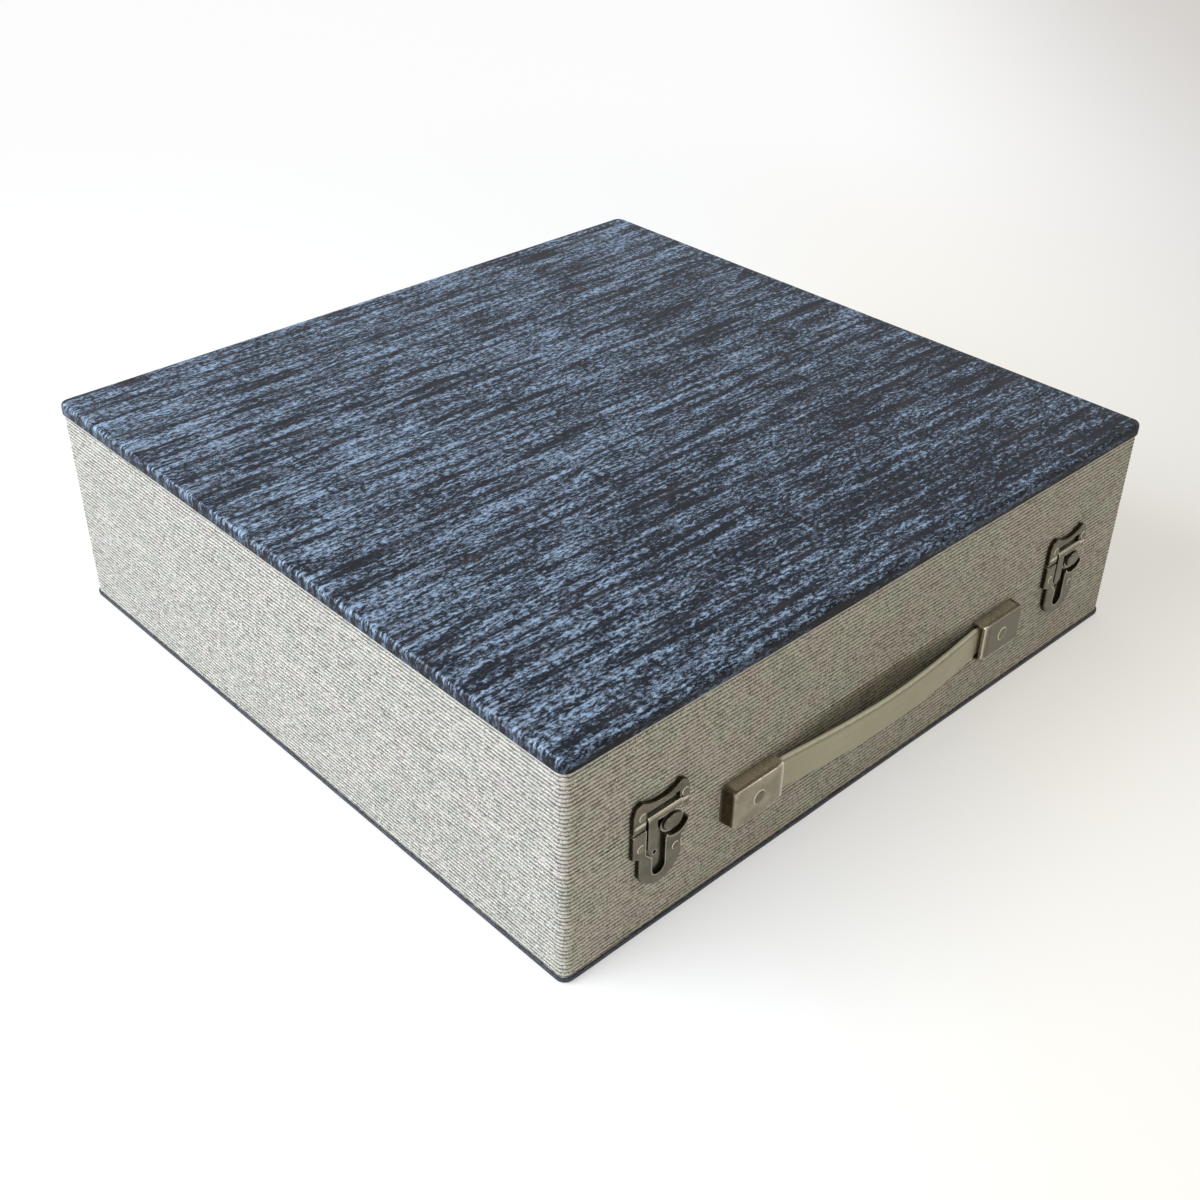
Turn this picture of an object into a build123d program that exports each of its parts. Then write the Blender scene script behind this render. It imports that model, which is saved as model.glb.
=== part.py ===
"""Record carrying case: a square box in two near-equal halves for twelve-inch records.

The origin is the centre of the underside. X runs along the latch side to the right,
-Y points out of the latch side and +Z is up. All sizes are in millimetres.
"""
import os
from math import asin, atan2, cos, degrees, hypot, sqrt

from build123d import *

os.makedirs("parts", exist_ok=True)

# ---- Case body -------------------------------------------------------------------
case_width = 345.0
case_depth = 335.0
base_height = 51.7
lid_height = 50.5
seam_gap = 0.3
corner_radius = 4.5
edge_radius = 1.5
wall_thickness = 5.0
panel_thickness = 4.0
cloth_thickness = 0.7
paper_thickness = 0.6
lining_thickness = 0.5
least_radius = 0.5

# paper turned down over the sides, and cloth turned in over the rims
lid_band = 6.0
base_band = 3.2
turn_in = 18.0

# card strips inside the base that the lid closes over
lip_thickness = 2.0
lip_below = 7.0
lip_above = 5.0
lip_clearance = 0.6
lip_corner_gap = 14.0

# ---- Butt hinges on the back -------------------------------------------------------
hinge_inset = 65.0
hinge_length = 36.0
leaf_height = 17.0
leaf_thickness = 1.0
leaf_corner = 2.5
knuckle_radius = 2.6
knuckle_count = 5
knuckle_gap = 0.3
hinge_pin_radius = 1.25
pin_running_gap = 0.05
pin_press_gap = 0.02
leaf_swing_gap = 0.4
hinge_rivet_spacing = 12.0
hinge_rivet_drop = 11.5

# ---- Rivets: shank, head and tail ---------------------------------------------------
small_shank = 1.0
small_head = 1.8
small_head_rise = 0.8
tail_flare = 0.9
tail_rise = 0.8
rivet_gap = 0.05
tail_gap = 0.4

# ---- Latches on the front ------------------------------------------------------------
latch_inset_left = 44.5
latch_inset_right = 48.5
latch_width = 27.5
latch_rise = 2.4
latch_sheet = 0.8
latch_edge_round = 0.8
split_height = 1.3
split_gap = 0.6

# upper plate, heights above the seam
ear_height = 14.4
rim_height = 11.4
side_height = 9.6
ear_inset = 4.2
rim_bead = 1.8
window_right = 8.8
notch_height = 6.6
upper_rivets = ((-9.6, 8.2), (11.3, 8.2))

# lower plate, depths below the seam
shoulder_depth = 9.8
shoulder_step = 3.2
tongue_depth = 20.0
plate_depth = 27.6
finger_depth = 9.5
finger_depth_left = 7.0
finger_depth_right = 5.2
finger_middle_x = 7.6
finger_bead = 1.0
finger_bead_rise = 0.4
finger_bead_round = 0.3
groove_left = -7.6
groove_right = 2.3
groove_taper = 3.4
groove_taper_from = 10.5
groove_taper_to = 14.0
groove_depth = 23.3
catch_hole_x = -1.7
catch_hole_drop = 13.7
catch_hole_radius = 0.9
lower_rivets = ((-10.1, -6.2), (7.4, -15.0))

# hasp, a bar and a finger tab on one barrel
hasp_left = -7.0
hasp_right = 9.8
hasp_side_gap = 0.45
hasp_pin_height = 4.8
hasp_pin_proud = 1.4
barrel_radius = 1.3
latch_pin_radius = 0.7
latch_pin_overhang = 1.9
bar_width = 4.6
bar_reach = 9.9
bar_back = 1.3
bar_thickness = 1.7
bar_round = 0.6
tab_back = 1.9
tab_thickness = 0.9
tab_centre_x = 4.4
tab_centre_drop = 0.9
tab_half_width = 5.6
tab_half_height = 4.3
tab_web_foot = 3.2
dome_inset = 1.0
dome_rise = 1.2
dome_round = 0.9

# ---- Handle on the front ---------------------------------------------------------------
handle_centre_x = -4.0
handle_drop = 13.2
cap_pitch = 154.0
cap_length = 28.0
cap_height = 18.0
cap_proud = 6.8
cap_sheet = 0.9
cap_draft = 4.0
cap_corner = 1.5
cap_facet_length = 4.5
cap_facet_depth = 0.8
mouth_margin = 0.5
strap_height = 15.6
strap_thickness = 2.2
grip_half_length = 24.0
grip_proud = 6.2
grip_bow = 0.9
link_outer_x = 60.0
link_outer_proud = 2.6
flex_gap = 0.25
core_thickness = 0.5
core_height = 11.0
core_end_margin = 2.0
tongue_height = 13.0
tongue_thickness = 0.8
tongue_end_gap = 2.0
handle_lift = 14.0
handle_shank = 2.0
handle_head = 3.2
handle_head_rise = 1.0
slot_gap = 0.4
washer_radius = 5.0
washer_thickness = 0.8

# ---- Derived levels and faces --------------------------------------------------------------
lid_rim = base_height + seam_gap
case_height = lid_rim + lid_height
seam = base_height + seam_gap / 2
front_face = -(case_depth / 2 - paper_thickness)
back_face = case_depth / 2 - paper_thickness
wall_inset = paper_thickness + cloth_thickness
inner_inset = wall_inset + wall_thickness
trim_inset = inner_inset + cloth_thickness
wall_stack = trim_inset - paper_thickness

latch_xs = {"left": latch_inset_left - case_width / 2, "right": case_width / 2 - latch_inset_right}
hinge_xs = {"left": hinge_inset - case_width / 2, "right": case_width / 2 - hinge_inset}
sides = {"left": -1, "right": 1}
handle_z = seam - handle_drop
hinge_axis_y = back_face + knuckle_radius

# the strap's flex lines, seen from above: on the grip and just outside each cap
link_run = link_outer_x - grip_half_length
link_length = hypot(link_run, grip_proud - link_outer_proud)
link_rest_angle = atan2(grip_proud - link_outer_proud, link_run)
link_lifted_angle = asin((grip_proud - link_outer_proud + handle_lift) / link_length)
tongue_travel = link_length * (cos(link_rest_angle) - cos(link_lifted_angle))
print("handle coupling, radians per metre of lift:", (link_lifted_angle - link_rest_angle) / handle_lift * 1000)
print("handle tongue travel:", tongue_travel, "link swing, degrees:", degrees(link_lifted_angle - link_rest_angle))


def keep(builder, name):
    """Label a finished piece and write it under its own name."""
    builder.part.label = name
    export_step(builder.part, f"parts/{name}.step")


def outline(inset, mode=Mode.ADD):
    """The case's rounded outline seen from above, drawn in by an inset."""
    radius = max(corner_radius - inset, least_radius)
    RectangleRounded(case_width - 2 * inset, case_depth - 2 * inset, radius, mode=mode)


def front_plane(x, height, proud=0.0):
    """A plane on the cloth of the front, facing out, with its y axis up."""
    return Plane(origin=(x, front_face - proud, height), x_dir=(1, 0, 0), z_dir=(0, -1, 0))


def back_plane(x, height, proud=0.0):
    """A plane on the cloth of the back, facing out, with its y axis up."""
    return Plane(origin=(x, back_face + proud, height), x_dir=(-1, 0, 0), z_dir=(0, 1, 0))


def drill(planes, radius):
    """Drill round holes through the wall piece being made, from planes on its face."""
    with Locations(*planes):
        Cylinder(radius, 4 * wall_stack, mode=Mode.SUBTRACT)


# ---- Where the rivets go ----------------------------------------------------------------------
hinge_rivet_xs = [
    x + step * hinge_rivet_spacing for x in hinge_xs.values() for step in (-1, 0, 1)
]
hinge_rivet_planes = {
    "base": [back_plane(x, seam - hinge_rivet_drop) for x in hinge_rivet_xs],
    "lid": [back_plane(x, seam + hinge_rivet_drop) for x in hinge_rivet_xs],
}
latch_rivet_planes = {
    "base": [front_plane(x + dx, seam + dz) for x in latch_xs.values() for dx, dz in lower_rivets],
    "lid": [front_plane(x + dx, seam + dz) for x in latch_xs.values() for dx, dz in upper_rivets],
}
handle_rivet_planes = [front_plane(handle_centre_x + s * cap_pitch / 2, handle_z) for s in sides.values()]


def drill_half(name):
    """Drill every rivet hole of one half through the wall piece being made."""
    drill(hinge_rivet_planes[name] + latch_rivet_planes[name], small_shank + rivet_gap)
    if name == "base":
        drill(handle_rivet_planes, handle_shank + rivet_gap)


# ---- The two halves: boards, coverings and linings -----------------------------------------------
halves = {
    "base": {"outside": 0.0, "rim": base_height, "inward": 1, "band": base_band, "sheet": "base_bottom_covering"},
    "lid": {"outside": case_height, "rim": lid_rim, "inward": -1, "band": lid_band, "sheet": "lid_top_covering"},
}
for name, half in halves.items():
    inward = half["inward"]
    half_height = abs(half["rim"] - half["outside"])
    panel_outside = half["outside"] + inward * paper_thickness
    panel_inside = panel_outside + inward * panel_thickness
    lining_level = panel_inside + inward * lining_thickness
    lining_wall = half_height - paper_thickness - panel_thickness - lining_thickness - turn_in

    # flat board that closes the half
    with BuildPart() as panel:
        with BuildSketch(Plane.XY.offset(panel_outside)):
            outline(wall_inset)
        extrude(amount=inward * panel_thickness)
    keep(panel, f"{name}_panel")

    # four-sided board frame with rounded corners
    with BuildPart() as wall_frame:
        with BuildSketch(Plane.XY.offset(panel_inside)):
            outline(wall_inset)
            outline(inner_inset, mode=Mode.SUBTRACT)
        extrude(amount=inward * (half_height - paper_thickness - panel_thickness - cloth_thickness))
        drill_half(name)
    keep(wall_frame, f"{name}_wall_frame")

    # ribbed cloth round the sides, over the rim and turned in
    with BuildPart() as side_covering:
        with BuildSketch(Plane.XY.offset(panel_outside)):
            outline(paper_thickness)
            outline(wall_inset, mode=Mode.SUBTRACT)
        extrude(amount=inward * (half_height - paper_thickness))
        with BuildSketch(Plane.XY.offset(half["rim"])):
            outline(wall_inset)
            outline(inner_inset, mode=Mode.SUBTRACT)
        extrude(amount=-inward * cloth_thickness)
        with BuildSketch(Plane.XY.offset(half["rim"])):
            outline(inner_inset)
            outline(trim_inset, mode=Mode.SUBTRACT)
        extrude(amount=-inward * turn_in)
        drill_half(name)
    keep(side_covering, f"{name}_side_covering")

    # mottled paper over the outer face, turned over the cloth's edge
    with BuildPart() as sheet:
        with BuildSketch(Plane.XY.offset(half["outside"])):
            outline(0)
        extrude(amount=inward * half["band"])
        rim_edges = sheet.edges().group_by(Axis.Z)[0 if inward > 0 else -1]
        fillet(rim_edges, edge_radius)
        with BuildSketch(Plane.XY.offset(panel_outside)):
            outline(paper_thickness)
        extrude(amount=inward * half["band"], mode=Mode.SUBTRACT)
    keep(sheet, half["sheet"])

    # paper lining on the floor and up to the turned-in cloth
    with BuildPart() as lining:
        with BuildSketch(Plane.XY.offset(panel_inside)):
            outline(inner_inset)
        extrude(amount=inward * lining_thickness)
        with BuildSketch(Plane.XY.offset(lining_level)):
            outline(inner_inset)
            outline(inner_inset + lining_thickness, mode=Mode.SUBTRACT)
        extrude(amount=inward * lining_wall)
    keep(lining, f"{name}_lining")


# ---- Locating lip: four card strips inside the base's rim --------------------------------------------
lip_length_x = case_width - 2 * trim_inset - 2 * lip_corner_gap
lip_length_y = case_depth - 2 * trim_inset - 2 * lip_corner_gap
lip_centre_x = case_width / 2 - trim_inset - lip_thickness / 2
lip_centre_y = case_depth / 2 - trim_inset - lip_thickness / 2
lip_height = lip_below + lip_above
with BuildPart() as locating_lip:
    with BuildSketch(Plane.XY.offset(base_height - lip_below)):
        with Locations((0, lip_centre_y), (0, -lip_centre_y)):
            Rectangle(lip_length_x, lip_thickness)
        with Locations((lip_centre_x, 0), (-lip_centre_x, 0)):
            Rectangle(lip_thickness, lip_length_y)
    extrude(amount=lip_height)
    # above the rim the strips are shaved, so that the lid drops over them freely
    with BuildSketch(Plane.XY.offset(base_height)):
        outline(trim_inset)
        outline(trim_inset + lip_clearance, mode=Mode.SUBTRACT)
    extrude(amount=lip_above, mode=Mode.SUBTRACT)
    drill(latch_rivet_planes["base"], small_shank + tail_flare + tail_gap)
keep(locating_lip, "base_locating_lip")


# ---- Rivets ---------------------------------------------------------------------------------------------
def rivet(shank, head, head_rise, grip):
    """One rivet along Z: domed head above z = 0, bucked tail below -grip."""
    dome_radius = (head**2 + head_rise**2) / (2 * head_rise)
    mid_rise = sqrt(dome_radius**2 - head**2 / 4) - dome_radius + head_rise
    with BuildPart() as made:
        with BuildSketch(Plane.XZ):
            with BuildLine():
                ThreePointArc((head, 0), (head / 2, mid_rise), (0, head_rise))
                Polyline(
                    (0, head_rise),
                    (0, -grip - tail_rise),
                    (shank + tail_flare, -grip - tail_rise),
                    (shank + tail_flare, -grip),
                    (shank, -grip),
                    (shank, 0),
                    (head, 0),
                )
            make_face()
        revolve(axis=Axis.Z)
    return made.part


hinge_rivet = rivet(small_shank, small_head, small_head_rise, leaf_thickness + wall_stack)
latch_rivet = rivet(small_shank, small_head, small_head_rise, latch_rise + wall_stack)
for name in halves:
    with BuildPart() as hinge_rivets:
        with Locations(*[plane.offset(leaf_thickness) for plane in hinge_rivet_planes[name]]):
            add(hinge_rivet)
    keep(hinge_rivets, f"{name}_hinge_rivets")

    with BuildPart() as latch_rivets:
        with Locations(*[plane.offset(latch_rise) for plane in latch_rivet_planes[name]]):
            add(latch_rivet)
    keep(latch_rivets, f"{name}_latch_rivets")


# ---- Butt hinges --------------------------------------------------------------------------------------------
knuckle_length = (hinge_length - knuckle_gap * (knuckle_count - 1)) / knuckle_count


def hinge_leaf(x, direction, first_knuckle, bore_gap, rivet_planes):
    """One leaf with every second knuckle; direction is -1 below the axis and 1 above it."""
    starts = [x - hinge_length / 2 + i * (knuckle_length + knuckle_gap) for i in range(knuckle_count)]
    own = starts[first_knuckle::2]
    others = starts[1 - first_knuckle::2]
    with BuildPart() as leaf:
        with BuildSketch(back_plane(x, seam + direction * leaf_height / 2)) as plate:
            Rectangle(hinge_length, leaf_height)
            outer_corners = plate.vertices().group_by(Axis.Y)[0 if direction < 0 else -1]
            fillet(outer_corners, leaf_corner)
        extrude(amount=leaf_thickness)
        for start in own:
            with BuildSketch(Plane.YZ.offset(start)):
                with Locations((hinge_axis_y, seam)):
                    Circle(knuckle_radius)
            extrude(amount=knuckle_length)
        # room for the other leaf's knuckles
        cut = 2 * (knuckle_radius + leaf_swing_gap)
        for start in others:
            with BuildSketch(Plane.YZ.offset(start - knuckle_gap)):
                with Locations((hinge_axis_y, seam)):
                    Rectangle(cut, cut)
            extrude(amount=knuckle_length + 2 * knuckle_gap, mode=Mode.SUBTRACT)
        with BuildSketch(Plane.YZ.offset(x - hinge_length)):
            with Locations((hinge_axis_y, seam)):
                Circle(hinge_pin_radius + bore_gap)
        extrude(amount=2 * hinge_length, mode=Mode.SUBTRACT)
        drill(rivet_planes, small_shank + rivet_gap)
    return leaf


for side, x in hinge_xs.items():
    keep(hinge_leaf(x, -1, 0, pin_press_gap, hinge_rivet_planes["base"]), f"{side}_hinge_base_leaf")
    keep(hinge_leaf(x, 1, 1, pin_running_gap, hinge_rivet_planes["lid"]), f"{side}_hinge_lid_leaf")
    with BuildPart() as hinge_pin:
        with BuildSketch(Plane.YZ.offset(x - hinge_length / 2)):
            with Locations((hinge_axis_y, seam)):
                Circle(hinge_pin_radius)
        extrude(amount=hinge_length)
    keep(hinge_pin, f"{side}_hinge_pin")


# ---- Latches ---------------------------------------------------------------------------------------------------
latch_half = latch_width / 2
notch_left = hasp_left - hasp_side_gap
notch_right = hasp_right + hasp_side_gap
pocket_depth = latch_rise - latch_sheet
bar_middle_x = hasp_left + bar_width / 2
upper_foot = split_height + split_gap / 2
lower_top = split_height - split_gap / 2


def latch_upper_plate(x):
    """Pressed plate on the lid: two ears, a rolled rim between them and a notch for the hasp."""
    with BuildPart() as plate:
        with BuildSketch(front_plane(x, seam)) as face:
            with BuildLine():
                Polyline(
                    (-latch_half + ear_inset, ear_height),
                    (-latch_half + ear_inset * 0.3, ear_height - ear_inset * 0.3),
                    (-latch_half, side_height),
                    (-latch_half, upper_foot),
                    (latch_half, upper_foot),
                    (latch_half, side_height),
                    (latch_half - ear_inset * 0.3, ear_height - ear_inset * 0.3),
                    (latch_half - ear_inset, ear_height),
                )
                ThreePointArc(
                    (latch_half - ear_inset, ear_height),
                    (0, rim_height),
                    (-latch_half + ear_inset, ear_height),
                )
            make_face()
            fillet(face.vertices().filter_by(lambda v: v.Y > side_height / 2), ear_inset * 0.45)
            with Locations(((notch_left + window_right) / 2, (rim_height - rim_bead + notch_height) / 2)):
                Rectangle(window_right - notch_left, rim_height - rim_bead - notch_height, mode=Mode.SUBTRACT)
            with Locations(((notch_left + notch_right) / 2, notch_height / 2)):
                Rectangle(notch_right - notch_left, notch_height, mode=Mode.SUBTRACT)
        extrude(amount=latch_rise)
        outer_edges = plate.faces().sort_by(Axis.Y)[0].edges()
        fillet(outer_edges, latch_edge_round)
        # hollow behind each ear
        for low, high in ((-latch_half, notch_left), (notch_right, latch_half)):
            with BuildSketch(front_plane(x, seam)):
                with Locations(((low + high) / 2, (upper_foot + side_height) / 2)):
                    Rectangle(high - low - 2 * latch_sheet, side_height - upper_foot - 2 * latch_sheet)
            extrude(amount=pocket_depth, mode=Mode.SUBTRACT)
        # bearing holes for the hasp's pin
        with BuildSketch(Plane.YZ.offset(x - latch_half + latch_sheet)):
            with Locations((front_face - hasp_pin_proud, seam + hasp_pin_height)):
                Circle(latch_pin_radius + pin_press_gap)
        extrude(amount=latch_width - 2 * latch_sheet, mode=Mode.SUBTRACT)
        drill(latch_rivet_planes["lid"], small_shank + rivet_gap)
    return plate


def latch_lower_plate(x):
    """Pressed shield on the base with a tapering groove for the hasp's bar and a bowl for a finger."""
    tongue_half = latch_half - shoulder_step
    finger_rim = (
        (latch_half, -finger_depth_right),
        (finger_middle_x, -finger_depth),
        (groove_right, -finger_depth_left),
    )
    with BuildPart() as plate:
        with BuildSketch(front_plane(x, seam)):
            with BuildLine():
                Polyline(
                    (tongue_half, -tongue_depth),
                    (tongue_half, -shoulder_depth - shoulder_step / 2),
                    (latch_half, -shoulder_depth),
                    finger_rim[0],
                )
                ThreePointArc(*finger_rim)
                Polyline(
                    finger_rim[2],
                    (groove_right, lower_top),
                    (-latch_half, lower_top),
                    (-latch_half, -shoulder_depth),
                    (-tongue_half, -shoulder_depth - shoulder_step / 2),
                    (-tongue_half, -tongue_depth),
                )
                ThreePointArc((-tongue_half, -tongue_depth), (0, -plate_depth), (tongue_half, -tongue_depth))
            make_face()
        extrude(amount=latch_rise)
        outer_edges = plate.faces().sort_by(Axis.Y)[0].edges()
        fillet(outer_edges, latch_edge_round)
        # rolled bead along the finger bowl
        with BuildSketch(front_plane(x, seam)):
            with BuildLine():
                ThreePointArc(*finger_rim)
            trace(line_width=finger_bead)
        extrude(amount=latch_rise + finger_bead_rise)
        fillet(plate.faces().sort_by(Axis.Y)[0].edges(), finger_bead_round)
        # groove, open at the top so that the bar leaves with the lid
        groove_half = (groove_right - groove_left - groove_taper) / 2
        with BuildSketch(front_plane(x, seam, latch_sheet)):
            with BuildLine():
                Polyline(
                    (groove_right, -groove_depth + groove_half),
                    (groove_right, split_height),
                    (groove_left, split_height),
                    (groove_left, -groove_taper_from),
                    (groove_left + groove_taper, -groove_taper_to),
                    (groove_left + groove_taper, -groove_depth + groove_half),
                )
                ThreePointArc(
                    (groove_left + groove_taper, -groove_depth + groove_half),
                    (groove_right - groove_half, -groove_depth),
                    (groove_right, -groove_depth + groove_half),
                )
            make_face()
        extrude(amount=latch_rise, mode=Mode.SUBTRACT)
        # hollow behind the upper left ear
        with BuildSketch(front_plane(x, seam)):
            with Locations(((groove_left - latch_half) / 2, (lower_top - shoulder_depth) / 2)):
                Rectangle(
                    latch_half + groove_left - 2 * latch_sheet,
                    shoulder_depth + lower_top - 2 * latch_sheet,
                )
        extrude(amount=pocket_depth, mode=Mode.SUBTRACT)
        drill([front_plane(x + catch_hole_x, seam - catch_hole_drop)], catch_hole_radius)
        drill(latch_rivet_planes["base"], small_shank + rivet_gap)
    return plate


def latch_hasp(x):
    """P-shaped hasp: a barrel, a bar that drops into the groove and a domed finger tab."""
    with BuildPart() as hasp:
        # bar
        with BuildSketch(front_plane(x, seam, bar_back)) as bar:
            with Locations((bar_middle_x, (hasp_pin_height - bar_reach) / 2)):
                Rectangle(bar_width, hasp_pin_height + bar_reach)
            fillet(bar.vertices().group_by(Axis.Y)[0], bar_width * 0.45)
        extrude(amount=bar_thickness)
        fillet(hasp.faces().sort_by(Axis.Y)[0].edges(), bar_round)
        # barrel
        with BuildSketch(Plane.YZ.offset(x + hasp_left)):
            with Locations((front_face - hasp_pin_proud, seam + hasp_pin_height)):
                Circle(barrel_radius)
        extrude(amount=hasp_right - hasp_left)
        # finger tab and the web that carries it
        with BuildSketch(front_plane(x, seam, tab_back)):
            with Locations(((bar_middle_x + hasp_right) / 2, (tab_web_foot + hasp_pin_height) / 2)):
                Rectangle(hasp_right - bar_middle_x, hasp_pin_height - tab_web_foot)
            with Locations((tab_centre_x, -tab_centre_drop)):
                Ellipse(tab_half_width, tab_half_height)
        extrude(amount=tab_thickness)
        with BuildSketch(front_plane(x, seam, tab_back + tab_thickness)):
            with Locations((tab_centre_x, -tab_centre_drop)):
                Ellipse(tab_half_width - dome_inset, tab_half_height - dome_inset)
        extrude(amount=dome_rise)
        fillet(hasp.faces().sort_by(Axis.Y)[0].edges(), dome_round)
        with BuildSketch(Plane.YZ.offset(x + hasp_left - 1)):
            with Locations((front_face - hasp_pin_proud, seam + hasp_pin_height)):
                Circle(latch_pin_radius + pin_running_gap)
        extrude(amount=hasp_right - hasp_left + 2, mode=Mode.SUBTRACT)
    return hasp


for side, x in latch_xs.items():
    keep(latch_upper_plate(x), f"{side}_latch_upper_plate")
    keep(latch_lower_plate(x), f"{side}_latch_lower_plate")
    keep(latch_hasp(x), f"{side}_latch_hasp")
    with BuildPart() as latch_pin:
        with BuildSketch(Plane.YZ.offset(x + hasp_left - latch_pin_overhang)):
            with Locations((front_face - hasp_pin_proud, seam + hasp_pin_height)):
                Circle(latch_pin_radius)
        extrude(amount=hasp_right - hasp_left + 2 * latch_pin_overhang)
    keep(latch_pin, f"{side}_latch_pin")


# ---- Handle ---------------------------------------------------------------------------------------------------------
strap_bottom = handle_z - strap_height / 2
strap_half = strap_thickness / 2


def handle_cap(sign):
    """Pressed cap: closed front, top, bottom and outer end, open to the cloth and to the strap."""
    x = handle_centre_x + sign * cap_pitch / 2
    mouth_x = x - sign * cap_length / 2
    with BuildPart() as cap:
        with BuildSketch(front_plane(x, handle_z)):
            Rectangle(cap_length, cap_height)
        extrude(amount=cap_proud, taper=cap_draft)
        # facet that slopes down to the strap's mouth
        with BuildSketch(Plane.XY.offset(handle_z - cap_height / 2)):
            with BuildLine():
                Polyline(
                    (mouth_x - sign, front_face - cap_proud - 1),
                    (mouth_x - sign, front_face - cap_proud + cap_facet_depth),
                    (mouth_x + sign * cap_facet_length, front_face - cap_proud),
                    (mouth_x + sign * cap_facet_length, front_face - cap_proud - 1),
                    close=True,
                )
            make_face()
        extrude(amount=cap_height, mode=Mode.SUBTRACT)
        drawn_edges = cap.edges().filter_by(
            lambda e: (e @ 0.5).Y < front_face - mouth_margin and sign * ((e @ 0.5).X - mouth_x) > mouth_margin
        )
        fillet(drawn_edges, cap_corner)
        # hollow for the strap's end, open at the mouth
        hollow_length = cap_length - cap_sheet - cap_corner
        with BuildSketch(front_plane(mouth_x + sign * hollow_length / 2, handle_z)):
            Rectangle(hollow_length + mouth_margin, cap_height - 2 * cap_sheet - mouth_margin)
        extrude(amount=cap_proud - cap_facet_depth - cap_sheet, mode=Mode.SUBTRACT)
        drill(handle_rivet_planes, handle_shank + rivet_gap)
    return cap


def strap_link(sign):
    """Side piece of the strap, from the grip to the cap's mouth."""
    inner = (handle_centre_x + sign * grip_half_length, front_face - grip_proud)
    outer = (handle_centre_x + sign * link_outer_x, front_face - link_outer_proud)
    with BuildPart() as link:
        with BuildSketch(Plane.XY.offset(strap_bottom)):
            with BuildLine():
                Line(inner, outer)
            trace(line_width=strap_thickness)
            with Locations(outer):
                Circle(strap_half)
            with Locations(inner):
                Circle(strap_half + flex_gap, mode=Mode.SUBTRACT)
        extrude(amount=strap_height)
    return link


def strap_tongue(sign):
    """Slotted steel end of the strap, which slides on the cap's rivet."""
    pivot = (handle_centre_x + sign * link_outer_x, front_face - link_outer_proud)
    far_x = handle_centre_x + sign * (cap_pitch / 2 + cap_length / 2 - cap_sheet - cap_corner - tongue_end_gap)
    rivet_x = handle_centre_x + sign * cap_pitch / 2
    slot_middle = rivet_x + sign * tongue_travel / 2
    slot_length = tongue_travel + 2 * (handle_shank + slot_gap)
    with BuildPart() as tongue:
        with BuildSketch(front_plane((pivot[0] + far_x) / 2, handle_z, link_outer_proud - tongue_thickness / 2)):
            Rectangle(abs(far_x - pivot[0]), tongue_height)
        extrude(amount=tongue_thickness)
        with BuildSketch(Plane.XY.offset(strap_bottom)):
            with Locations(pivot):
                Circle(strap_half + flex_gap)
        extrude(amount=strap_height, mode=Mode.SUBTRACT)
        with BuildSketch(front_plane(slot_middle, handle_z, link_outer_proud - tongue_thickness)):
            SlotOverall(slot_length, 2 * (handle_shank + slot_gap))
        extrude(amount=2 * tongue_thickness, mode=Mode.SUBTRACT)
    return tongue


def bowed_band(half_length, half_thickness):
    """A strip seen from above that follows the grip's bow; added to the sketch being made."""
    y_end = front_face - grip_proud
    y_mid = front_face - grip_proud - grip_bow
    x = handle_centre_x
    with BuildSketch() as band:
        with BuildLine():
            ThreePointArc(
                (x - half_length, y_end - half_thickness),
                (x, y_mid - half_thickness),
                (x + half_length, y_end - half_thickness),
            )
            Line((x + half_length, y_end - half_thickness), (x + half_length, y_end + half_thickness))
            ThreePointArc(
                (x + half_length, y_end + half_thickness),
                (x, y_mid + half_thickness),
                (x - half_length, y_end + half_thickness),
            )
            Line((x - half_length, y_end + half_thickness), (x - half_length, y_end - half_thickness))
        make_face()
    return band.sketch


core_band = bowed_band(grip_half_length - core_end_margin, core_thickness / 2)
core_bottom = handle_z - core_height / 2
with BuildPart() as grip:
    with BuildSketch(Plane.XY.offset(strap_bottom)):
        add(bowed_band(grip_half_length, strap_half))
        for sign in sides.values():
            with Locations((handle_centre_x + sign * grip_half_length, front_face - grip_proud)):
                Circle(strap_half)
    extrude(amount=strap_height)
    with BuildSketch(Plane.XY.offset(core_bottom)):
        add(core_band)
    extrude(amount=core_height, mode=Mode.SUBTRACT)
keep(grip, "handle_grip")

with BuildPart() as core:
    with BuildSketch(Plane.XY.offset(core_bottom)):
        add(core_band)
    extrude(amount=core_height)
keep(core, "handle_spring_core")

for side, sign in sides.items():
    keep(handle_cap(sign), f"{side}_handle_cap")
    keep(strap_link(sign), f"{side}_strap_link")
    keep(strap_tongue(sign), f"{side}_strap_tongue")

handle_rivet = rivet(handle_shank, handle_head, handle_head_rise, cap_proud + wall_stack + washer_thickness)
with BuildPart() as handle_rivets:
    with Locations(*[plane.offset(cap_proud) for plane in handle_rivet_planes]):
        add(handle_rivet)
keep(handle_rivets, "handle_rivets")

with BuildPart() as handle_washers:
    for plane in handle_rivet_planes:
        with BuildSketch(plane.offset(-wall_stack)):
            Circle(washer_radius)
            Circle(handle_shank + rivet_gap, mode=Mode.SUBTRACT)
        extrude(amount=-washer_thickness)
keep(handle_washers, "handle_washers")
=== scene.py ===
"""The looks of the record carrying case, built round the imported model.

Everything is in metres in the model's own frame: X along the latch side, -Y out of the latch
side, +Z up, with the origin at the centre of the underside.
"""

import math

import bpy
import numpy as np
from mathutils import Matrix, Vector, noise

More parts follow.
